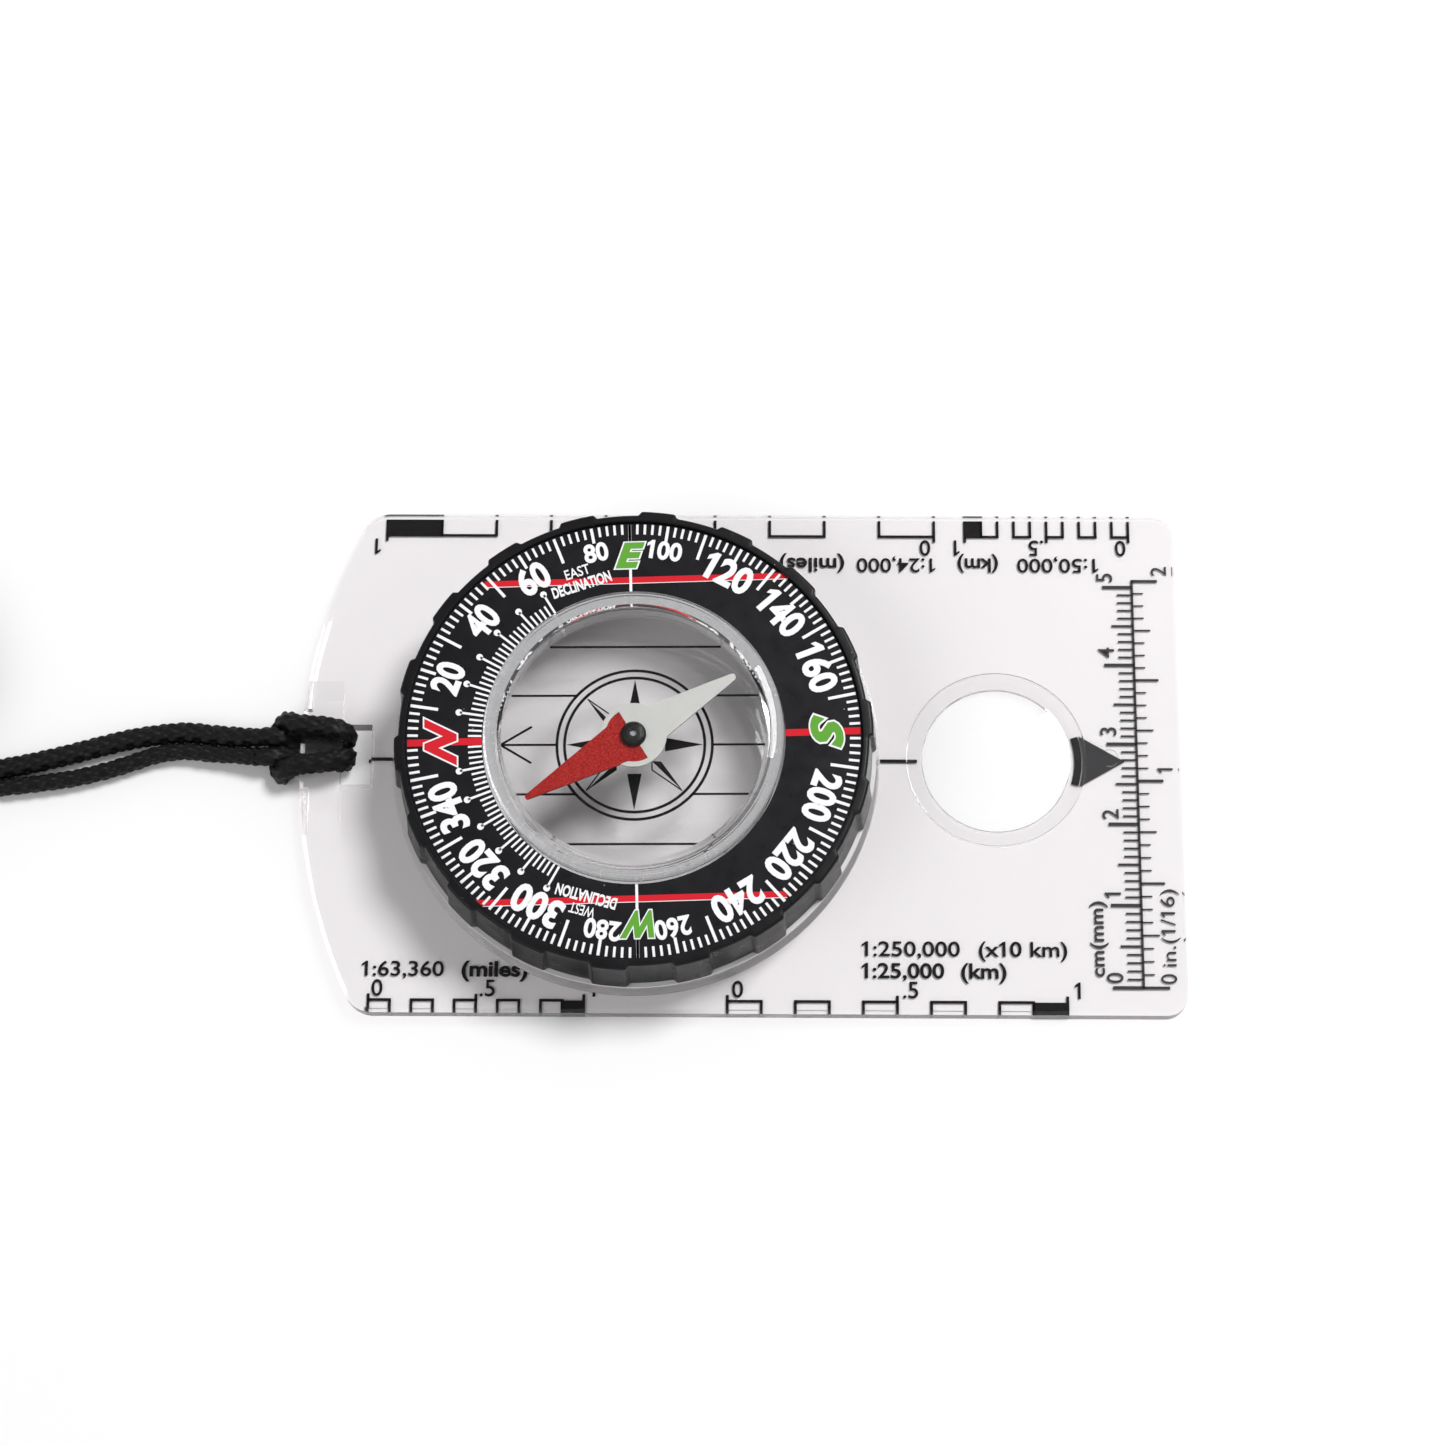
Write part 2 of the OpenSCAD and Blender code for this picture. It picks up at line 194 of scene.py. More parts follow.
def clear_plastic(name, tint, shade, walls, bend=1.49):
    """Moulded acrylic: level faces are polished, with faint smears and hair-thin
    scratches, and upright walls are as matt as `walls` says. `bend` is its refractive
    index, which is lower where a liquid wets it."""
    finish = Finish(name, tint, 0.03, Transmission_Weight=1.0, IOR=bend)
    facing = finish.add("ShaderNodeNewGeometry")
    split = finish.add("ShaderNodeSeparateXYZ")
    finish.join(facing.outputs["True Normal"], split, "Vector")
    upward = finish.add("ShaderNodeMath")
    upward.operation = "ABSOLUTE"
    finish.join(split.outputs["Z"], upward, 0)
    upright, level = 0.35, 0.8
    matt = finish.between(upward.outputs["Value"], upright, level, walls, 0)
    smears = finish.between(finish.grain(9, 3), 0.3, 0.7, 0, 0.035)
    total = finish.add("ShaderNodeMath")
    finish.join(matt, total, 0)
    finish.join(smears, total, 1)
    finish.join(total.outputs["Value"], finish.shader, "Roughness")
    scratches = finish.grain(0.5, 2, finish.stretched((0.06, 1, 1)))
    finish.bump(scratches, 0.0006, 0.5)
    return finish.see_through(shade)


def moulded_black(name, colour, rough, grain=0.35, height=0.008):
    """Satin moulded plastic with a fine spark-eroded grain and a little dust."""
    finish = Finish(name, colour, rough, Specular_IOR_Level=0.15)
    worn = finish.grain(6, 5)
    dust = finish.specks(2.6, 0.035)
    lighter = tuple(c * 1.4 for c in colour)
    base = finish.blend(finish.between(worn, 0.4, 0.75), colour, lighter)
    finish.colour(finish.blend(dust, base, (0.3, 0.3, 0.3)))
    finish.rough(finish.grain(1.6, 4), rough - 0.04, rough + 0.06)
    return finish.bump(finish.grain(grain, 3), height)


def ink(name, colour, rough=0.5, worn=0.06):
    """Screen-printed ink: nearly even, thinner in small patches."""
    finish = Finish(name, colour, rough, Specular_IOR_Level=0.05)
    thin = tuple(c * (1 - worn) + 0.1 * worn for c in colour)
    finish.colour(finish.blend(finish.between(finish.grain(0.35, 4), 0.5, 0.8), colour, thin))
    finish.rough(finish.grain(0.8), rough - 0.08, rough + 0.08)
    return finish.bump(finish.grain(0.12, 2), 0.003)


def metal(name, colour, rough, grain):
    """Turned or drawn metal with fine marks that run round it."""
    finish = Finish(name, colour, rough, Metallic=1.0)
    marks = finish.grain(grain, 3, finish.stretched((1, 1, 6)))
    finish.colour(finish.blend(finish.grain(2), colour, tuple(c * 0.8 for c in colour)))
    finish.rough(marks, rough - 0.08, rough + 0.12)
    return finish.bump(marks, 0.002)


def soft_white(name, colour, rough, **sockets):
    """Natural nylon or luminous plastic: milky, with faint mottling."""
    finish = Finish(name, colour, rough, **sockets)
    finish.colour(finish.blend(finish.grain(1.5, 5), colour, tuple(c * 0.9 for c in colour)))
    finish.rough(finish.grain(0.6), rough - 0.06, rough + 0.1)
    return finish.bump(finish.grain(0.25, 3), 0.004)


def needle_paint():
    """Red semi-matte paint with a fine orange-peel speckle."""
    finish = Finish("red_paint", (0.4, 0.01, 0.008), 0.5, Specular_IOR_Level=0.12)
    speckle = finish.grain(0.22, 5)
    finish.colour(finish.blend(finish.between(speckle, 0.4, 0.65),
                               (0.22, 0.004, 0.004), (0.42, 0.02, 0.014)))
    finish.rough(finish.grain(0.5), 0.38, 0.6)
    return finish.bump(speckle, 0.012)


def nylon_cord():
    """Black braided nylon: dull, with small painted glints, lighter flecks in its colour at
    scattered spots that stand in for fibres catching the light.
    """
    finish = Finish("braided_nylon", (0.003, 0.003, 0.003), 0.5, Specular_IOR_Level=0.2)
    fibres = finish.grain(0.12, 3)
    # Painted highlights: scattered lighter flecks put into the colour, in place of light caught by
    # fibres
    painted_glints = finish.between(finish.grain(0.5, 4), 0.6, 0.8)
    finish.colour(finish.blend(painted_glints, (0.003, 0.003, 0.003), (0.035, 0.035, 0.036)))
    finish.rough(finish.grain(0.5), 0.35, 0.7)
    return finish.bump(fibres, 0.02)


def table_top():
    """Plain pale backdrop."""
    finish = Finish("table", (0.93, 0.93, 0.93), 0.75)
    finish.colour(finish.blend(finish.grain(120, 3), (0.93, 0.93, 0.93), (0.91, 0.91, 0.915)))
    return finish.rough(finish.grain(30), 0.7, 0.8)


# ---------- mesh helpers ----------

def mesh_piece(name, points, faces, finish, body, smooth=True, angle=35):
    """A mesh piece from points in millimetres, riding on a body."""
    mesh = bpy.data.meshes.new(name)
    mesh.from_pydata([Vector(p) * MM for p in points], [], faces)
    mesh.validate()
    mesh.materials.append(finish.material)
    piece = bpy.data.objects.new(name, mesh)
    bpy.context.scene.collection.objects.link(piece)
    if smooth:
        mesh.shade_smooth()
        mesh.set_sharp_from_angle(angle=math.radians(angle))
    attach(piece, body)
    return piece


def ring_faces(rings, count, closed=False):
    """Quads between neighbouring rings of `count` points each."""
    last = rings if closed else rings - 1
    return [(i * count + k, i * count + (k + 1) % count,
             (i + 1) % rings * count + (k + 1) % count, (i + 1) % rings * count + k)
            for i in range(last) for k in range(count)]


def turned(profile, steps, centre, swell):
    """Points and faces of a closed profile (r, z) turned round the vertical through
    centre, with swell(angle, r) added to each radius."""
    points = []
    for i in range(steps):
        a = math.tau * i / steps
        for r, z in profile:
            out = r + swell(a, r)
            points.append((centre.x + out * math.cos(a), centre.y + out * math.sin(a), z))
    return points, ring_faces(steps, len(profile), closed=True)


# ---------- lanyard ----------

CORD_D = 2.2
# Radius over the braid's crests
CREST_R = 1.2
BRAID_CARRIERS = 6
BRAID_PITCH = 2.1
BRAID_RELIEF = 0.34
RING_POINTS = 32
RING_STEP = 0.3
# How much wider the cord gets as it is squeezed flat
SPREAD = 0.9

# Routes of the cord's middle line, the same as in part.scad. The hitch's
# fourth number is how flat the cord is squeezed there.
HITCH_HALF = [
    (-58, 2.45, 2, 1), (-56.7, 2.5, 2.3, 0.95), (-55.3, 2.45, 2.2, 0.85),
    (-54, 2.4, 1.35, 0.65), (-52.9, 2.4, 0.7, 0.55), (-50.8, 2.4, 0.64, 0.55),
    (-48.6, 2.45, 0.66, 0.55), (-47.2, 2.5, 1, 0.65), (-46.75, 2.6, 2, 0.75),
    (-47.3, 2.9, 3, 0.85), (-48.8, 3.4, 3.4, 0.85), (-50.8, 3.65, 3.4, 0.85),
    (-52.9, 3.85, 3.35, 0.85), (-54.4, 4.4, 2.7, 0.85), (-55.1, 4.7, 1.6, 0.75),
    (-55.7, 4.2, 0.75, 0.6), (-56, 3, 0.62, 0.55),
]
HITCH_MIDDLE = (-56.1, 1.25, 0.62, 0.55)
STRAND_A = [
    (-58, 2.45, 2), (-60.5, 2.6, 1.6), (-63.5, 2.95, 1.25), (-66.7, 3.3, 1.1),
    (-70, 3, 1.1), (-73.5, 2.4, 1.1), (-77, 1.5, 1.1), (-81, 0.4, 1.1),
    (-85, -0.6, 1.1), (-89, -1.4, 1.1), (-93, -2, 1.1), (-97, -2.35, 1.1),
    (-101, -2.5, 1.1),
]
STRAND_B = [
    (-58, 0.05, 2), (-60.5, 0.35, 1.6), (-63.5, 0.6, 1.25), (-66.7, 0.95, 1.1),
    (-70, 0.5, 1.1), (-73, -0.5, 1.1), (-76, -1.5, 1.1), (-80, -2.5, 1.1),
    (-84.5, -3.2, 1.1), (-89, -3.75, 1.1), (-93, -4.3, 1.1), (-97, -4.65, 1.1),
    (-101, -4.75, 1.1), (-105, -4.75, 1.1),
]
COIL_C = (-108.5, 9)
COIL_IN_R = 11.5
COIL_OUT_R = 13.75
COIL_LAYERS = 3
# Where each turn of the coil rises to the next layer, in degrees from its start
CLIMB = (250, 315)
# The last degrees before the knot, where both strands draw together
CLOSING = 40
KNOT_HEADING = 130
KNOT_TURNED = 3 * 360 + (270 - KNOT_HEADING)


def coil_turns(radius):
    """Clockwise turns from the coil's front side, each climbing one layer near its end,
    up to the knot on top."""
    step = 12
    into_knot = (COIL_IN_R + COIL_OUT_R) / 2
    points = []
    for turned_by in range(0, KNOT_TURNED + 1, step):
        lap, part = divmod(turned_by, 360)
        share = min(max((part - CLIMB[0]) / (CLIMB[1] - CLIMB[0]), 0), 1)
        rise = lap + share * share * (3 - 2 * share)
        closing = max(0, 1 - (KNOT_TURNED - turned_by) / CLOSING)
        r = radius + (into_knot - radius) * 0.6 * closing
        a = math.radians(-90 - turned_by)
        points.append((COIL_C[0] + r * math.cos(a), COIL_C[1] + r * math.sin(a),
                       CORD_D * (rise + 0.5)))
    return points


def smooth_line(points, step):
    """Points every `step` along one smooth curve through the given points. A fourth
    number, where there is one, is carried along."""
    size = len(points[0])
    ends = [tuple(2 * p - q for p, q in zip(points[0], points[1]))]
    ends += points + [tuple(2 * p - q for p, q in zip(points[-1], points[-2]))]
    dense = []
    for i in range(1, len(ends) - 2):
        p0, p1, p2, p3 = ends[i - 1:i + 3]
        for k in range(16):
            t = k / 16
            dense.append(tuple(
                0.5 * (2 * p1[d] + (p2[d] - p0[d]) * t
                       + (2 * p0[d] - 5 * p1[d] + 4 * p2[d] - p3[d]) * t * t
                       + (3 * p1[d] - p0[d] - 3 * p2[d] + p3[d]) * t ** 3)
                for d in range(size)))
    dense.append(tuple(points[-1]))
    along = [0.0]
    for p, q in zip(dense, dense[1:]):
        along.append(along[-1] + math.dist(p[:3], q[:3]))
    count = max(2, round(along[-1] / step))
    line, j = [], 0
    for i in range(count + 1):
        at = along[-1] * i / count
        while j < len(dense) - 2 and along[j + 1] < at:
            j += 1
        t = (at - along[j]) / max(along[j + 1] - along[j], 1e-9)
        line.append(tuple(a + (b - a) * min(t, 1) for a, b in zip(dense[j], dense[j + 1])))
    return line, along[-1]


def braid(u, v):
    """Height of a braid's surface, 0 to 1: two crossing sets of carriers, where one
    passes over the other in turn."""
    over = math.sin(math.pi * u) * math.sin(math.pi * v)
    ridge_u = abs(math.sin(math.pi * u))
    ridge_v = abs(math.sin(math.pi * v))
    return ridge_u ** 0.6 * ridge_v if over > 0 else ridge_v ** 0.6 * ridge_u


def braided_tube(line, radius, tapered=False):
    """Points and faces of a closed braided tube along a smooth line."""
    points = []
    side = Vector((0, 1, 0))
    last = len(line) - 1
    gone = 0.0
    for i, p in enumerate(line):
        here = Vector(p[:3])
        ahead = (Vector(line[min(i + 1, last)][:3]) - Vector(line[max(i - 1, 0)][:3])).normalized()
        side = (side - side.dot(ahead) * ahead).normalized()
        up = ahead.cross(side)
        if i:
            gone += math.dist(p[:3], line[i - 1][:3])
        flat = p[3] if len(p) > 3 else 1.0
        wide = 1 + SPREAD * (1 - flat)
        end = min(i, last - i) * RING_STEP
        round_off = math.sqrt(max(0.05, 1 - (1 - min(end / radius, 1)) ** 2)) if tapered else 1
        for k in range(RING_POINTS):
            a = math.tau * k / RING_POINTS
            turn = BRAID_CARRIERS * k / RING_POINTS
            weave = braid(turn + gone / BRAID_PITCH, turn - gone / BRAID_PITCH)
            r = round_off * (radius - BRAID_RELIEF * (1 - weave))
            points.append(here + r * wide * math.cos(a) * side + r * flat * math.sin(a) * up)
    faces = ring_faces(len(line), RING_POINTS)
    faces.append(tuple(reversed(range(RING_POINTS))))
    faces.append(tuple(range(last * RING_POINTS, (last + 1) * RING_POINTS)))
    return points, faces


def hitch_line():
    """The cow hitch from strand to strand, mirrored about its middle."""
    other = [(x, 2 * HITCH_MIDDLE[1] - y, z, f) for x, y, z, f in reversed(HITCH_HALF)]
    return smooth_line(HITCH_HALF + [HITCH_MIDDLE] + other, RING_STEP)[0]


def knot_lines():
    """An overhand knot pulled tight, and its two short tails lying on the coil."""
    ring_r, pass_r = 2.1, 1.0
    tail_apart, tail_start, tail_step = 1.15, 0.12, 0.10
    middle = (COIL_IN_R + COIL_OUT_R) / 2
    coil_top = COIL_LAYERS * CORD_D
    a = math.radians(KNOT_HEADING)
    centre = Vector((COIL_C[0] + middle * math.cos(a), COIL_C[1] + middle * math.sin(a),
                     coil_top + ring_r))
    loop = []
    for i in range(37):
        t = math.tau * i / 36
        out = ring_r + pass_r * math.cos(3 * t)
        loop.append(tuple(centre + Vector((out * math.cos(2 * t), out * math.sin(2 * t),
                                           pass_r * math.sin(3 * t)))))
    lines = [smooth_line(loop, RING_STEP)[0]]
    for side in (-1, 1):
        r = middle + side * tail_apart
        tail = []
        for k in range(7):
            turn = a - tail_start - tail_step * k
            tail.append((COIL_C[0] + r * math.cos(turn), COIL_C[1] + r * math.sin(turn),
                         coil_top + CORD_D / 2 + 0.03))
        lines.append(smooth_line(tail, RING_STEP)[0])
    return lines


def make_lanyard():
    """The hitch, the knot and the two strands, each with its turns of the coil. The hitch
    is pressed flat where it would pass below the plate's underside."""
    finish = nylon_cord()
    hitch_points, hitch_faces = braided_tube(hitch_line(), CREST_R)
    for point in hitch_points:
        point.z = max(point.z, PLATE_LOW.z)
    hitch = mesh_piece("cord_hitch", hitch_points, hitch_faces, finish, "plate",
                       angle=80)
    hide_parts("lanyard_hitch")

    points, faces = [], []
    for line in knot_lines():
        more, quads = braided_tube(line, CORD_D / 2, tapered=True)
        faces += [tuple(i + len(points) for i in q) for q in quads]
        points += more
    knot = mesh_piece("cord_end_knot", points, faces, finish, "plate",
                      angle=80)
    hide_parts("lanyard_knot")

    for name, route, flat, radius, nodes, others in (
            ("cord_a", STRAND_A, 0.85, COIL_IN_R, ("lanyard_strand_a", "lanyard_coil"),
             [hitch, knot]),
            ("cord_b", STRAND_B, 1.1, COIL_OUT_R, ("lanyard_strand_b",), [])):
        route = [(*p, 1 if p is route[0] else flat) for p in route]
        line, length = smooth_line(route + [(*p, 1) for p in coil_turns(radius)], RING_STEP)
        points, faces = braided_tube(line, CREST_R)
        cord = mesh_piece(name, points, faces, finish, "plate", angle=80)
        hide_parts(*nodes)


make_lanyard()


# ---------- turning ring ----------

GRIPS = 18
GRIP_HEADING = 4.8
GRIP_ANGLE = 10
GRIP_H = 0.5
GRIP_RAMP = 1.1
RING_STEPS = 1080
RING_LEAN = 0.5
RING_ROUND = 0.4
RING_BORE_R = 25.65


def ring_profile():
    """Section of the turning ring between two grips, with its edges rounded."""
    foot_r = BEZEL_R - GRIP_H
    top_r = foot_r - RING_LEAN
    inner_r = FACE_R + 0.05
    foot, top = BEZEL_LOW.z, BEZEL_HIGH.z
    seat = SCALE_LOW.z
    ledge = foot + 1.05
    edge = [(top_r + RING_ROUND * (math.cos(a) - 1), top + RING_ROUND * (math.sin(a) - 1))
            for a in (math.radians(15 * k) for k in range(7))]
    return [
        (RING_BORE_R, foot), (foot_r - 0.15, foot), (foot_r, foot + 0.15),
        (foot_r - 0.12, foot + 1.4), (foot_r - 0.25, foot + 2.8), *edge,
        (inner_r + 0.12, top), (inner_r, top - 0.1), (inner_r, seat),
        (inner_r - 0.65, seat), (inner_r - 0.65, seat - 0.6), (inner_r, seat - 1.2),
        (inner_r, ledge), (RING_BORE_R, ledge),
    ]


def grip_swell(a, r):
    """How far the ring's outer wall stands out at angle a, where a grip is. The wall
    is what lies outside the top's inner edge."""
    if r < max(BEZEL_R - GRIP_H - 1.0, FACE_R + 0.35):
        return 0
    pitch = 360 / GRIPS
    off = abs((math.degrees(a) - GRIP_HEADING + pitch / 2) % pitch - pitch / 2)
    share = min(max((GRIP_ANGLE / 2 - off) / GRIP_RAMP, 0), 1)
    return GRIP_H * share * share * (3 - 2 * share)


def make_turning_ring():
    points, faces = turned(ring_profile(), RING_STEPS, DIAL, grip_swell)
    ring = mesh_piece("turning_ring", points, faces,
                      moulded_black("satin_black", (0.008, 0.008, 0.009), 0.3), "dial")
    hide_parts("bezel_ring")


# ---------- lens ----------

LENS_EDGE_R = 8.85
LENS_RISE = 0.8
LENS_SEAT = 1.33
LENS_STEPS = 240
LENS_BANDS = 24


def make_lens():
    """A shallow clear dome. Its flange stops just short of its seat, so that no two
    faces of clear plastic coincide."""
    flange_r = half_width(LENS_LOW, LENS_HIGH)
    edge_r, rise, seat = LENS_EDGE_R, LENS_RISE, LENS_SEAT
    top, low = LENS_HIGH.z - rise, LENS_LOW.z
    dome_r = (edge_r ** 2 + rise ** 2) / (2 * rise)
    profile = [(edge_r - 0.1, low), (edge_r, low + 0.1), (edge_r, seat), (flange_r, seat),
               (flange_r, top - 0.05), (flange_r - 0.05, top), (edge_r + 0.04, top)]
    for k in range(LENS_BANDS):
        r = edge_r * (1 - k / LENS_BANDS)
        profile.append((r, top + rise - dome_r + math.sqrt(dome_r ** 2 - r ** 2)))
    steps, count = LENS_STEPS, len(profile)
    points = []
    for i in range(steps):
        a = math.tau * i / steps
        points += [(LENS.x + r * math.cos(a), LENS.y + r * math.sin(a), z) for r, z in profile]
    faces = [(i * count + k, (i + 1) % steps * count + k, (i + 1) % steps * count + k + 1,
              i * count + k + 1) for i in range(steps) for k in range(count - 1)]
    under, over = len(points), len(points) + 1
    points += [(LENS.x, LENS.y, low), (LENS.x, LENS.y, top + rise)]
    for i in range(steps):
        here, there = i * count, (i + 1) % steps * count
        faces += [(under, there, here), (over, here + count - 1, there + count - 1)]
    lens = mesh_piece("lens_dome", points, faces,
                      clear_plastic("lens_acrylic", (1, 1, 1), (1, 1, 1), 0.1), "plate")
    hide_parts("magnifier_lens")


# ---------- printing ----------

# Thickness of a coat of ink, and how far the dial's print goes into its face
COAT = 0.03
SINK = 0.01
GLYPHS = {}


def glyph(char, weight, slant):
    """Flat points and faces of a character or two, 1 em high, kept for the next use."""
    key = (char, weight, slant)
    if key not in GLYPHS:
        curve = bpy.data.curves.new("character", "FONT")
        curve.body = char
        curve.offset = weight
        curve.shear = slant
        curve.resolution_u = 4
        block = bpy.data.objects.new("character", curve)
        bpy.context.scene.collection.objects.link(block)
        graph = bpy.context.evaluated_depsgraph_get()
        mesh = bpy.data.meshes.new_from_object(block.evaluated_get(graph))
        places, index, points = {}, [], []
        for v in mesh.vertices:
            at = (round(v.co.x, 5), round(v.co.y, 5))
            if at not in places:
                places[at] = len(points)
                points.append(at)
            index.append(places[at])
        faces = set()
        for p in mesh.polygons:
            corners = [index[i] for i in p.vertices]
            if len(set(corners)) == len(corners):
                if p.normal.z < 0:
                    corners.reverse()
                turn = corners.index(min(corners))
                faces.add(tuple(corners[turn:] + corners[:turn]))
        GLYPHS[key] = points, sorted(faces)
        bpy.data.objects.remove(block)
        bpy.data.curves.remove(curve)
        bpy.data.meshes.remove(mesh)
    return GLYPHS[key]


def advance(char):
    """How far the next character stands to the right."""
    return extent(glyph(char + "I", 0.0, 0.0)[0])[2] - extent(glyph("I", 0.0, 0.0)[0])[2]


def flagged_one(weight):
    """A 1 with a flag, which the font's own bare stroke lacks. Its width and stroke
    come from the font's other digits."""
    left, low, right, high = extent(glyph("1", weight, 0.0)[0])
    stroke = right - left
    stem = 0.36 * advance("0") - weight
    flag, drop, thick = 0.26 * advance("0"), 0.2 * (high - low), 0.75 * stroke
    points = [(stem, low), (stem + stroke, low), (stem + stroke, high),
              (stem + 0.3 * stroke, high), (stem - flag, high - drop),
              (stem - flag, high - drop - thick), (stem, high - 0.45 * drop - thick)]
    return points, [(0, 1, 2, 3, 6), (3, 4, 5, 6)]


def glyphs(words, weight, slant):
    """Flat points and faces of a line of words, 1 em high."""
    points, faces, cursor = [], [], 0.0
    for char in words:
        flat, polygons = flagged_one(weight) if char == "1" else glyph(char, weight, slant)
        faces += [tuple(i + len(points) for i in f) for f in polygons]
        points += [(x + cursor, y) for x, y in flat]
        cursor += 0.9 * advance("0") if char == "1" else advance(char)
    return points, faces


def extent(points):
    """Lowest x, lowest y, highest x and highest y of some flat points."""
    xs = [p[0] for p in points]
    ys = [p[1] for p in points]
    return min(xs), min(ys), max(xs), max(ys)


class Print:
    """Shapes printed in one colour on a level surface, each a thin closed solid."""

    def __init__(self, level, centre=(0, 0)):
        self.level = level
        self.centre = centre
        self.points = []
        self.faces = []

    def lay(self, flat, faces, at=(0, 0), turn=0.0, coats=1):
        """Adds flat shapes, turned by `turn` degrees and moved to `at`, as a solid that
        is `coats` coats of ink thick."""
        c, s = math.cos(math.radians(turn)), math.sin(math.radians(turn))
        first, count = len(self.points), len(flat)
        x0, y0 = self.centre[0] + at[0], self.centre[1] + at[1]
        for z in (self.level, self.level + COAT * coats):
            self.points += [(x0 + x * c - y * s, y0 + x * s + y * c, z) for x, y in flat]
        sides = {(a, b) for f in faces for a, b in zip(f, f[1:] + f[:1])}
        self.faces += [tuple(first + i for i in reversed(f)) for f in faces]
        self.faces += [tuple(first + count + i for i in f) for f in faces]
        self.faces += [(first + a, first + b, first + count + b, first + count + a)
                       for a, b in sorted(sides) if (b, a) not in sides]

    def shape(self, outline, **where):
        self.lay(outline, [tuple(range(len(outline)))], **where)

    def bar(self, start, end, width, **where):
        """A straight line between two points."""
        along = Vector((end[0] - start[0], end[1] - start[1])).normalized() * (width / 2)
        x, y = -along.y, along.x
        self.shape([(start[0] - x, start[1] - y), (end[0] - x, end[1] - y),
                    (end[0] + x, end[1] + y), (start[0] + x, start[1] + y)], **where)

    def box(self, left, low, right, high, **where):
        self.shape([(left, low), (right, low), (right, high), (left, high)], **where)

    def spoke(self, heading, near, far, width, **where):
        """A line along a radius."""
        a = math.radians(heading)
        self.bar((near * math.cos(a), near * math.sin(a)),
                 (far * math.cos(a), far * math.sin(a)), width, **where)

    def ring(self, r_in, r_out, start=0, sweep=360, steps=120, **where):
        whole = sweep >= 360
        flat = []
        for i in range(steps + (not whole)):
            a = math.radians(start + sweep * i / steps)
            flat += [(r_in * math.cos(a), r_in * math.sin(a)),
                     (r_out * math.cos(a), r_out * math.sin(a))]
        n = len(flat)
        self.lay(flat, [(2 * i, 2 * i + 1, (2 * i + 3) % n, (2 * i + 2) % n)
                        for i in range(steps)], **where)

    def dot(self, r, steps=24, **where):
        self.shape([(r * math.cos(math.tau * i / steps), r * math.sin(math.tau * i / steps))
                    for i in range(steps)], **where)

    def words(self, words, at, cap, turn=0.0, width=None, weight=0.0, slant=0.0, coats=1):
        """A line of words whose digits and capitals are `cap` high, with its middle at
        `at`. It is as wide as `width`, where that is given."""
        plain, _ = glyphs(words, 0.0, slant)
        digit = extent(glyphs("0", 0.0, 0.0)[0])
        left, _, right, _ = extent(plain)
        size_y = cap / (digit[3] - digit[1])
        size_x = width / (right - left) if width else size_y
        mid_x, mid_y = (left + right) / 2, (digit[1] + digit[3]) / 2
        flat, faces = glyphs(words, weight, slant)
        self.lay([((x - mid_x) * size_x, (y - mid_y) * size_y) for x, y in flat], faces,
                 at=at, turn=turn, coats=coats)

    def piece(self, name, finish, body):
        mesh_piece(name, self.points, self.faces, finish, body, smooth=False)


# ---------- print on the plate ----------

LINE_W = 0.34
TEXT_CAP = 1.8
TEXT_WEIGHT = 0.008
# Size of a scale's numbers, and how far in from its base line they and their marks go
LABEL_CAP = 2.0
LABEL_IN = 1.45
MARK_IN = 0.75
PLATE_PRINT_Z = 0.02
BOX_EDGE_Y = EDGE_Y - 0.25
MILE = 1609344
KILOMETRE = 1000000
INCH = 25.4


def map_scale(black, zero, tenth, base_y, label_shift):
    """A scale along the plate's edge: boxes on every other tenth, the last one filled,
    with its numbers read from that edge's side. Tenths run right along the near edge
    and left along the far one."""
    side = -1 if base_y < 0 else 1
    run = -side * tenth
    edge = side * BOX_EDGE_Y
    turn = 0 if side < 0 else 180
    low, high = min(base_y, edge), max(base_y, edge)
    for k in (0, 2, 4, 6, 8):
        a, b = sorted((zero + k * run, zero + (k + 1) * run))
        black.box(a - LINE_W / 2, base_y - LINE_W / 2, b + LINE_W / 2, base_y + LINE_W / 2)
        for x in (a, b):
            black.box(x - LINE_W / 2, low, x + LINE_W / 2, high)
    a, b = sorted((zero + 9 * run, zero + 10 * run))
    black.box(a - LINE_W / 2, low - LINE_W / 2, b + LINE_W / 2, high)
    for k, label in ((0, "0"), (5, ".5"), (10, "1")):
        x = zero + k * run
        black.bar((x, base_y), (x, base_y - side * MARK_IN), LINE_W)
        shift = label_shift if label != ".5" else label_shift * 1.3
        black.words(label, (x - side * shift, base_y - side * LABEL_IN), LABEL_CAP,
                    turn=turn, weight=TEXT_WEIGHT)


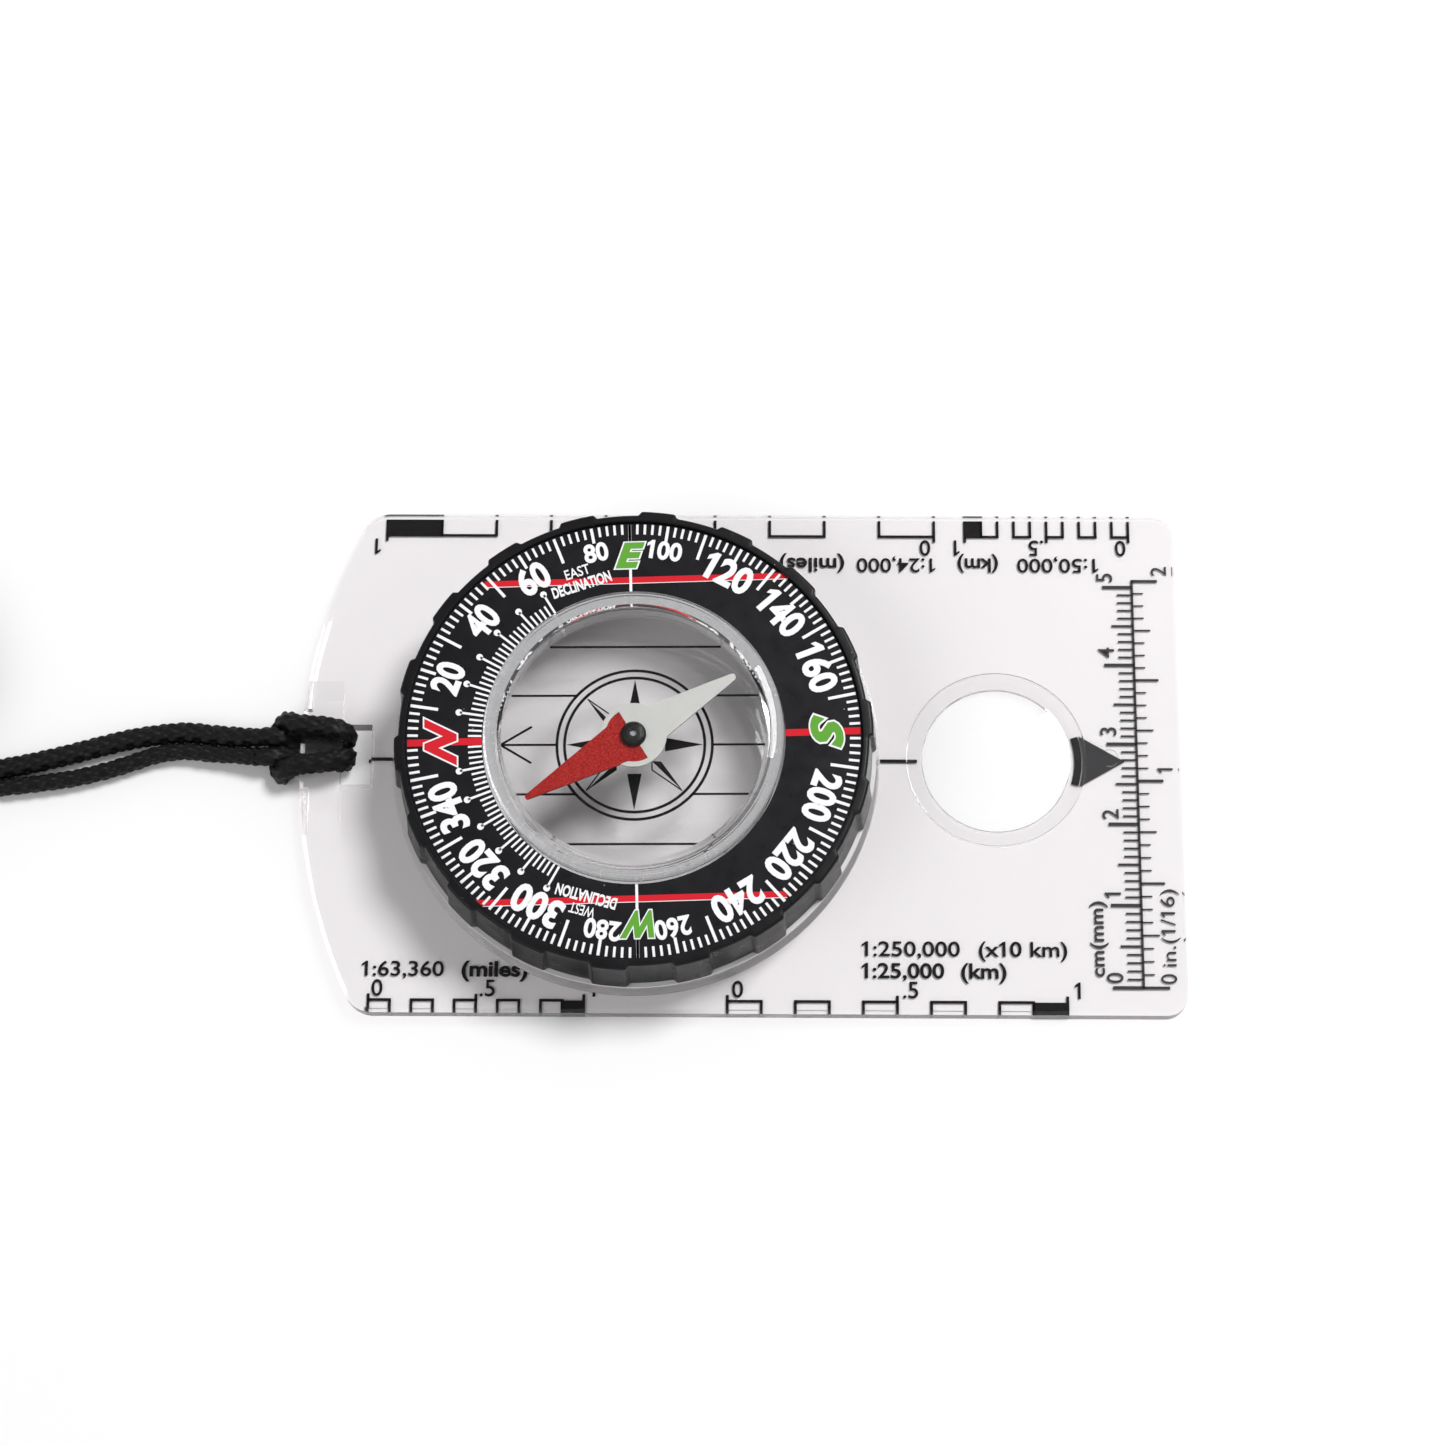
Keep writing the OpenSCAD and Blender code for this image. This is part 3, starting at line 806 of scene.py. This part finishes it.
def make_plate_print():
    """Four map scales with their names, and the index line on both sides of the dial."""
    black = Print(PLATE_PRINT_Z)
    far_base, near_base = 28.91, -29.42
    for zero, unit, ratio, base_y, label_shift in (
            (23.64, MILE, 24000, far_base, 1.1), (47.42, KILOMETRE, 50000, far_base, 1.0),
            (-43.59, MILE, 63360, near_base, 1.0), (-1.29, KILOMETRE, 25000, near_base, 1.2)):
        map_scale(black, zero, unit / ratio / 10, base_y, label_shift)
    far_text, near_text, second_text = 25.2, -25.65, -23.0
    for words, left, right, y, turn, weight in (
            ("1:24,000", 14.2, 23.75, far_text, 180, 0.0),
            ("(miles)", 4.8, 12.6, far_text, 180, 0.012),
            ("1:50,000", 33.8, 43.66, far_text, 180, 0.0),
            ("(km)", 26.56, 31.4, far_text, 180, 0.012),
            ("1:63,360", -44.45, -34.8, near_text, 0, 0.004),
            ("(miles)", -32.6, -24.96, near_text, 0, 0.022),
            ("1:250,000", 14.57, 26.1, second_text, 0, 0.002),
            ("(x10 km)", 28.4, 38.76, second_text, 0, 0.006),
            ("1:25,000", 14.56, 24.2, near_text, 0, 0.010),
            ("(km)", 26.3, 31.52, near_text, 0, 0.014)):
        black.words(words, ((left + right) / 2, y), TEXT_CAP, turn=turn,
                    width=right - left, weight=weight + TEXT_WEIGHT)
    index_y, index_w = 0.15, 0.42
    for start, end in ((-44.7, DIAL.x - 20), (15.9, 21.3)):
        black.bar((start, index_y), (end, index_y), index_w)
    black.piece("plate_print", ink("black_ink", (0.004, 0.004, 0.004)), "plate")


# Tick sizes: every how many, how long and how wide. The first row that fits counts.
MILLIMETRE_TICKS = ((10, 3.6, 0.42), (5, 2.6, 0.3), (1, 1.85, 0.24))
SIXTEENTH_TICKS = ((16, 3.1, 0.36), (8, 2.9, 0.3), (4, 2.1, 0.22), (1, 1.35, 0.18))


def tick(k, sizes):
    """Length and width of the tick at k."""
    return next((length, width) for every, length, width in sizes if k % every == 0)


def make_ruler_print():
    """Centimetres on one side of a line and inches on the other, with the pointer
    that marks the direction of travel."""
    grey = Print(PLATE_PRINT_Z)
    line_x, zero = 47.68, -27.6
    grey.bar((line_x, zero - 0.1), (line_x, zero + 2 * INCH + 0.15), 0.3)
    for k in range(51):
        length, width = tick(k, MILLIMETRE_TICKS)
        grey.bar((line_x, zero + k), (line_x - length, zero + k), width)
    for k in range(33):
        length, width = tick(k, SIXTEENTH_TICKS)
        y = zero + k * INCH / 16
        grey.bar((line_x, y), (line_x + length, y), width)
    for k, past in enumerate((1.2, 1.25, 1.25, 1.6, 1.6, 1.25)):
        grey.words(str(k), (44.35, zero + 10 * k + past), 1.95, turn=90, weight=0.006)
    for k in (1, 2):
        grey.words(str(k), (51.0, zero + k * INCH + 1.3), 1.9, turn=90)
    grey.words("cm(mm)", (42.35, -21.7), 1.6, turn=90, width=9.1, weight=0.018)
    grey.words("0", (50.7, -26.5), 1.9, turn=90)
    grey.words("in.(1/16)", (50.8, -20.3), 1.7, turn=90, width=9.4)
    tip_x, mid, cut_r, half_angle, steps = 46.24, 0.2, 10.5, 17.6, 8
    outline = [(tip_x, mid)]
    for k in range(steps + 1):
        a = math.radians(half_angle - 2 * half_angle * k / steps)
        outline.append((LENS.x + cut_r * math.cos(a), mid + cut_r * math.sin(a)))
    grey.shape(outline)
    arc = Print(PLATE_PRINT_Z)
    arc.ring(9.45, 10.35, start=-17.5, sweep=35, steps=12, at=(LENS.x, mid))
    arc.piece("pointer_arc", ink("arc_ink", (0.006, 0.006, 0.006)), "plate")
    grey.piece("ruler_print", ink("grey_ink", (0.045, 0.045, 0.047)), "plate")


# ---------- print on the dial ----------

NORTH = 181.9
TICK_R = FACE_R - 0.2
NUMBER_R = 23.2
LETTER_R = 22.6
RED_OFFSET = 19.6
RED_TURN = 2.0
# Inner edge of the print, just outside the capsule's cover
HOLE_R = COVER_R + 0.25
DEGREE_TICKS = ((20, 1.9, 0.36), (10, 3.3, 0.36), (2, 1.25, 0.3))
# Outer ends of the declination scale's short and long ticks
COMB_R = 19.5
COMB_TEN_R = 20.75


def heading_of(degrees):
    """Direction of a dial reading, anticlockwise from +X. Readings grow clockwise."""
    return NORTH - degrees


def at_reading(degrees, r):
    a = math.radians(heading_of(degrees))
    return r * math.cos(a), r * math.sin(a)


def make_dial_print():
    """Degrees, letters, red lines and the declination scale on the dial's face."""
    centre = (DIAL.x, DIAL.y)
    white = Print(FACE_Z - SINK, centre)
    red = Print(FACE_Z - SINK, centre)
    green = Print(FACE_Z - SINK, centre)

    for reading in range(0, 360, 2):
        if reading in (0, 180):
            continue
        length, width = tick(reading, DEGREE_TICKS)
        white.spoke(heading_of(reading), TICK_R - length, TICK_R, width, coats=2)

    for reading in range(20, 360, 20):
        if reading == 180:
            continue
        small = reading in (80, 100, 260, 280)
        cap, step, spare, r, weight = ((2.2, 1.30, -0.15, 23.55, 0.032) if small
                                       else (3.2, 2.27, 1.0, NUMBER_R, 0.038))
        label = str(reading)
        white.words(label, at_reading(reading, r), cap, turn=heading_of(reading) - 90,
                    width=step * len(label) - spare, weight=weight, coats=3)

    for reading, letter, ink_print, slant, width in (
            (0, "N", red, 0.5, 5.0), (90, "E", green, 0.3, 2.9),
            (180, "S", green, 0.3, 3.4), (270, "W", green, 0.3, 3.5)):
        turn = heading_of(reading) - 90
        place = at_reading(reading, LETTER_R + 0.1)
        cap = 3.4 if letter in "NS" else 2.9
        white.words(letter, place, cap, turn=turn, width=width, weight=0.088,
                    slant=slant, coats=4)
        ink_print.words(letter, place, cap, turn=turn, width=width, weight=0.05,
                        slant=slant, coats=5)

    for reading in (0, 180):
        red.spoke(heading_of(reading), HOLE_R, TICK_R, 0.85)
    half = math.sqrt(TICK_R ** 2 - RED_OFFSET ** 2)
    for side in (-1, 1):
        where = {"at": (0, side * RED_OFFSET), "turn": RED_TURN}
        red.bar((-half, 0), (half, 0), 0.75, **where)
        white.bar((-half, -0.42), (half, -0.42), 0.08, **where)
    for reading in (90, 270):
        white.spoke(heading_of(reading), HOLE_R + 0.05, LETTER_R - 1.6, 0.32, coats=3)
        white.spoke(heading_of(reading), LETTER_R + 1.9, TICK_R, 0.32, coats=2)

    inner = HOLE_R + 0.05
    for reading in range(-60, 61, 2):
        if reading == 0:
            continue
        if reading % 10:
            white.spoke(heading_of(reading), inner, COMB_R, 0.24, coats=2)
        else:
            white.spoke(heading_of(reading), inner, COMB_TEN_R, 0.27, coats=2)
            white.dot(0.4, at=at_reading(reading, COMB_TEN_R + 0.1), coats=2)

    for reading, word in ((73, "EAST"), (287, "WEST")):
        turn = heading_of(reading) - 90
        white.words(word, at_reading(reading, 21.75), 1.25, turn=turn, width=3.0,
                    weight=0.01, coats=3)
        white.words("DECLINATION", at_reading(reading, 20.05), 1.3, turn=turn, width=7.2,
                    weight=0.035, coats=3)

    white.piece("dial_print_white", ink("white_ink", (0.86, 0.86, 0.88)), "dial")
    red.piece("dial_print_red", ink("red_ink", (0.62, 0.018, 0.03)), "dial")
    green.piece("dial_print_green", ink("green_ink", (0.12, 0.36, 0.045)), "dial")


def make_capsule_print():
    """Meridian lines, the orienting arrow and the compass rose on the capsule's floor."""
    black = Print(FLOOR_Z + 0.02, (DIAL.x, DIAL.y))
    line_w, thin_w, circle_w = 0.27, 0.16, 0.34
    reach, spread, turn = 15.9, 6.1, 0.4
    rose_r, inner_r = 9.2, 8.3
    barb = (-12.2, 2.25)
    arm_r, arm_half = 3.6, 0.85
    notch_r, shoulder = 2.9, (3.7, 0.75)
    for k in (-2, 2):
        half = math.sqrt(reach ** 2 - (spread * k) ** 2)
        black.bar((-half, spread * k), (half, spread * k), line_w, turn=turn)
    for k in (-1, 0, 1):
        far = math.sqrt(reach ** 2 - (spread * k) ** 2)
        near = math.sqrt(rose_r ** 2 - (spread * k) ** 2)
        for side in (-1, 1):
            black.bar((side * near, spread * k), (side * far, spread * k), line_w, turn=turn)
    tip = (-reach, 0)
    for side in (-1, 1):
        black.bar(tip, (barb[0], side * barb[1]), line_w, turn=turn)
    for r in (rose_r, inner_r):
        black.ring(r - circle_w / 2, r + circle_w / 2, steps=180)
    point = (inner_r - 0.2, 0)
    far_shoulder = (shoulder[0], -shoulder[1])
    for k in range(4):
        black.shape([(arm_r, -arm_half), point, (arm_r, arm_half)], turn=turn + 90 * k)
        diagonal = turn + 45 + 90 * k
        black.shape([(notch_r, 0), point, shoulder], turn=diagonal)
        black.bar((notch_r, 0), far_shoulder, thin_w, turn=diagonal)
        black.bar(far_shoulder, (inner_r - 0.3, -0.02), thin_w, turn=diagonal)
    black.piece("capsule_print", ink("capsule_ink", (0.004, 0.004, 0.004)), "dial")


# ---------- finishes of the CAD parts ----------

def dress(node, finish):
    """Gives a CAD part its finish."""
    slots = NODES[node].data.materials
    if not slots:
        slots.append(finish.material)
    for i in range(len(slots)):
        slots[i] = finish.material


def dress_cad_parts():
    plate = clear_plastic("plate_acrylic", (0.99, 0.985, 0.99), (0.95, 0.936, 0.94), 0.2)
    capsule = clear_plastic("capsule_acrylic", (1, 1, 1), (1, 1, 1), 0.12, 1.3)
    dress("baseplate", plate)
    dress("capsule_base", capsule)
    dress("capsule_cover", capsule)
    dress("scale_ring", moulded_black("charcoal", (0.009, 0.0083, 0.01), 0.3, 0.25, 0.003))
    dress("slip_ring", soft_white("slip_nylon", (0.82, 0.82, 0.8), 0.45))
    dress("filler_plug", soft_white("plug_nylon", (0.8, 0.8, 0.8), 0.45))
    dress("capsule_gasket", soft_white("silicone", (0.52, 0.52, 0.53), 0.2,
                                        Transmission_Weight=0.45, IOR=1.41))
    dress("retaining_ring", metal("spring_steel", (0.62, 0.62, 0.64), 0.28, 0.3))
    dress("pivot_post", metal("brass", (0.8, 0.58, 0.26), 0.3, 0.15))
    dress("pivot_pin", metal("pin_steel", (0.62, 0.62, 0.64), 0.22, 0.1))
    dress("needle_magnet", metal("magnet_steel", (0.3, 0.3, 0.32), 0.4, 0.3))
    dress("needle_north", needle_paint())
    dress("needle_south", soft_white("luminous_white", (0.53, 0.535, 0.515), 0.35,
                                     Subsurface_Weight=0.35, Subsurface_Scale=0.0006))
    dress("jewel_cup", soft_white("jewel", (0.45, 0.47, 0.5), 0.12))
    dress("hub_cap", moulded_black("hub_black", (0.006, 0.006, 0.006), 0.42, 0.2, 0.003))


# ---------- room ----------

FLOOR_HALF = 1500
FLOOR_DROP = 0.2
SKY_LOW = 0.84
SKY_TOP = 0.15


def make_floor():
    """A wide plain table, just below the plate's underside."""
    corners = [(x * FLOOR_HALF, y * FLOOR_HALF, -FLOOR_DROP)
               for x, y in ((-1, -1), (1, -1), (1, 1), (-1, 1))]
    mesh = bpy.data.meshes.new("floor")
    mesh.from_pydata([Vector(p) * MM for p in corners], [], [(0, 1, 2, 3)])
    mesh.materials.append(table_top().material)
    floor = bpy.data.objects.new("floor", mesh)
    bpy.context.scene.collection.objects.link(floor)


def make_lamp(name, size, watts, place):
    """A round soft lamp at a place in metres, turned to the middle of the plate."""
    data = bpy.data.lights.new(name, "AREA")
    data.shape = "DISK"
    data.size = size
    data.energy = watts
    lamp = bpy.data.objects.new(name, data)
    lamp.location = place
    lamp.rotation_euler = (-Vector(place)).to_track_quat("-Z", "Y").to_euler()
    bpy.context.scene.collection.objects.link(lamp)


def make_light():
    """A studio that is bright round the sides and dimmer overhead, so that level glossy
    faces stay clear, with one large lamp at the back right and a weak one opposite."""
    world = bpy.data.worlds.new("studio")
    bpy.context.scene.world = world
    world.use_nodes = True
    tree = world.node_tree
    sky = tree.nodes["Background"]
    sky.inputs["Color"].default_value = (1, 1, 1, 1)
    heading = tree.nodes.new("ShaderNodeTexCoord")
    split = tree.nodes.new("ShaderNodeSeparateXYZ")
    height = tree.nodes.new("ShaderNodeMapRange")
    height.inputs["To Min"].default_value = SKY_LOW
    height.inputs["To Max"].default_value = SKY_TOP
    tree.links.new(heading.outputs["Generated"], split.inputs["Vector"])
    tree.links.new(split.outputs["Z"], height.inputs["Value"])
    tree.links.new(height.outputs["Result"], sky.inputs["Strength"])
    make_lamp("key", 0.35, 7.9, (0.40, 0.36, 0.86))
    make_lamp("fill", 0.6, 2.0, (-0.6, -0.35, 0.7))
    bpy.context.scene.view_settings.view_transform = "Standard"


make_turning_ring()
make_lens()
make_plate_print()
make_ruler_print()
make_dial_print()
make_capsule_print()
dress_cad_parts()
make_floor()
make_light()
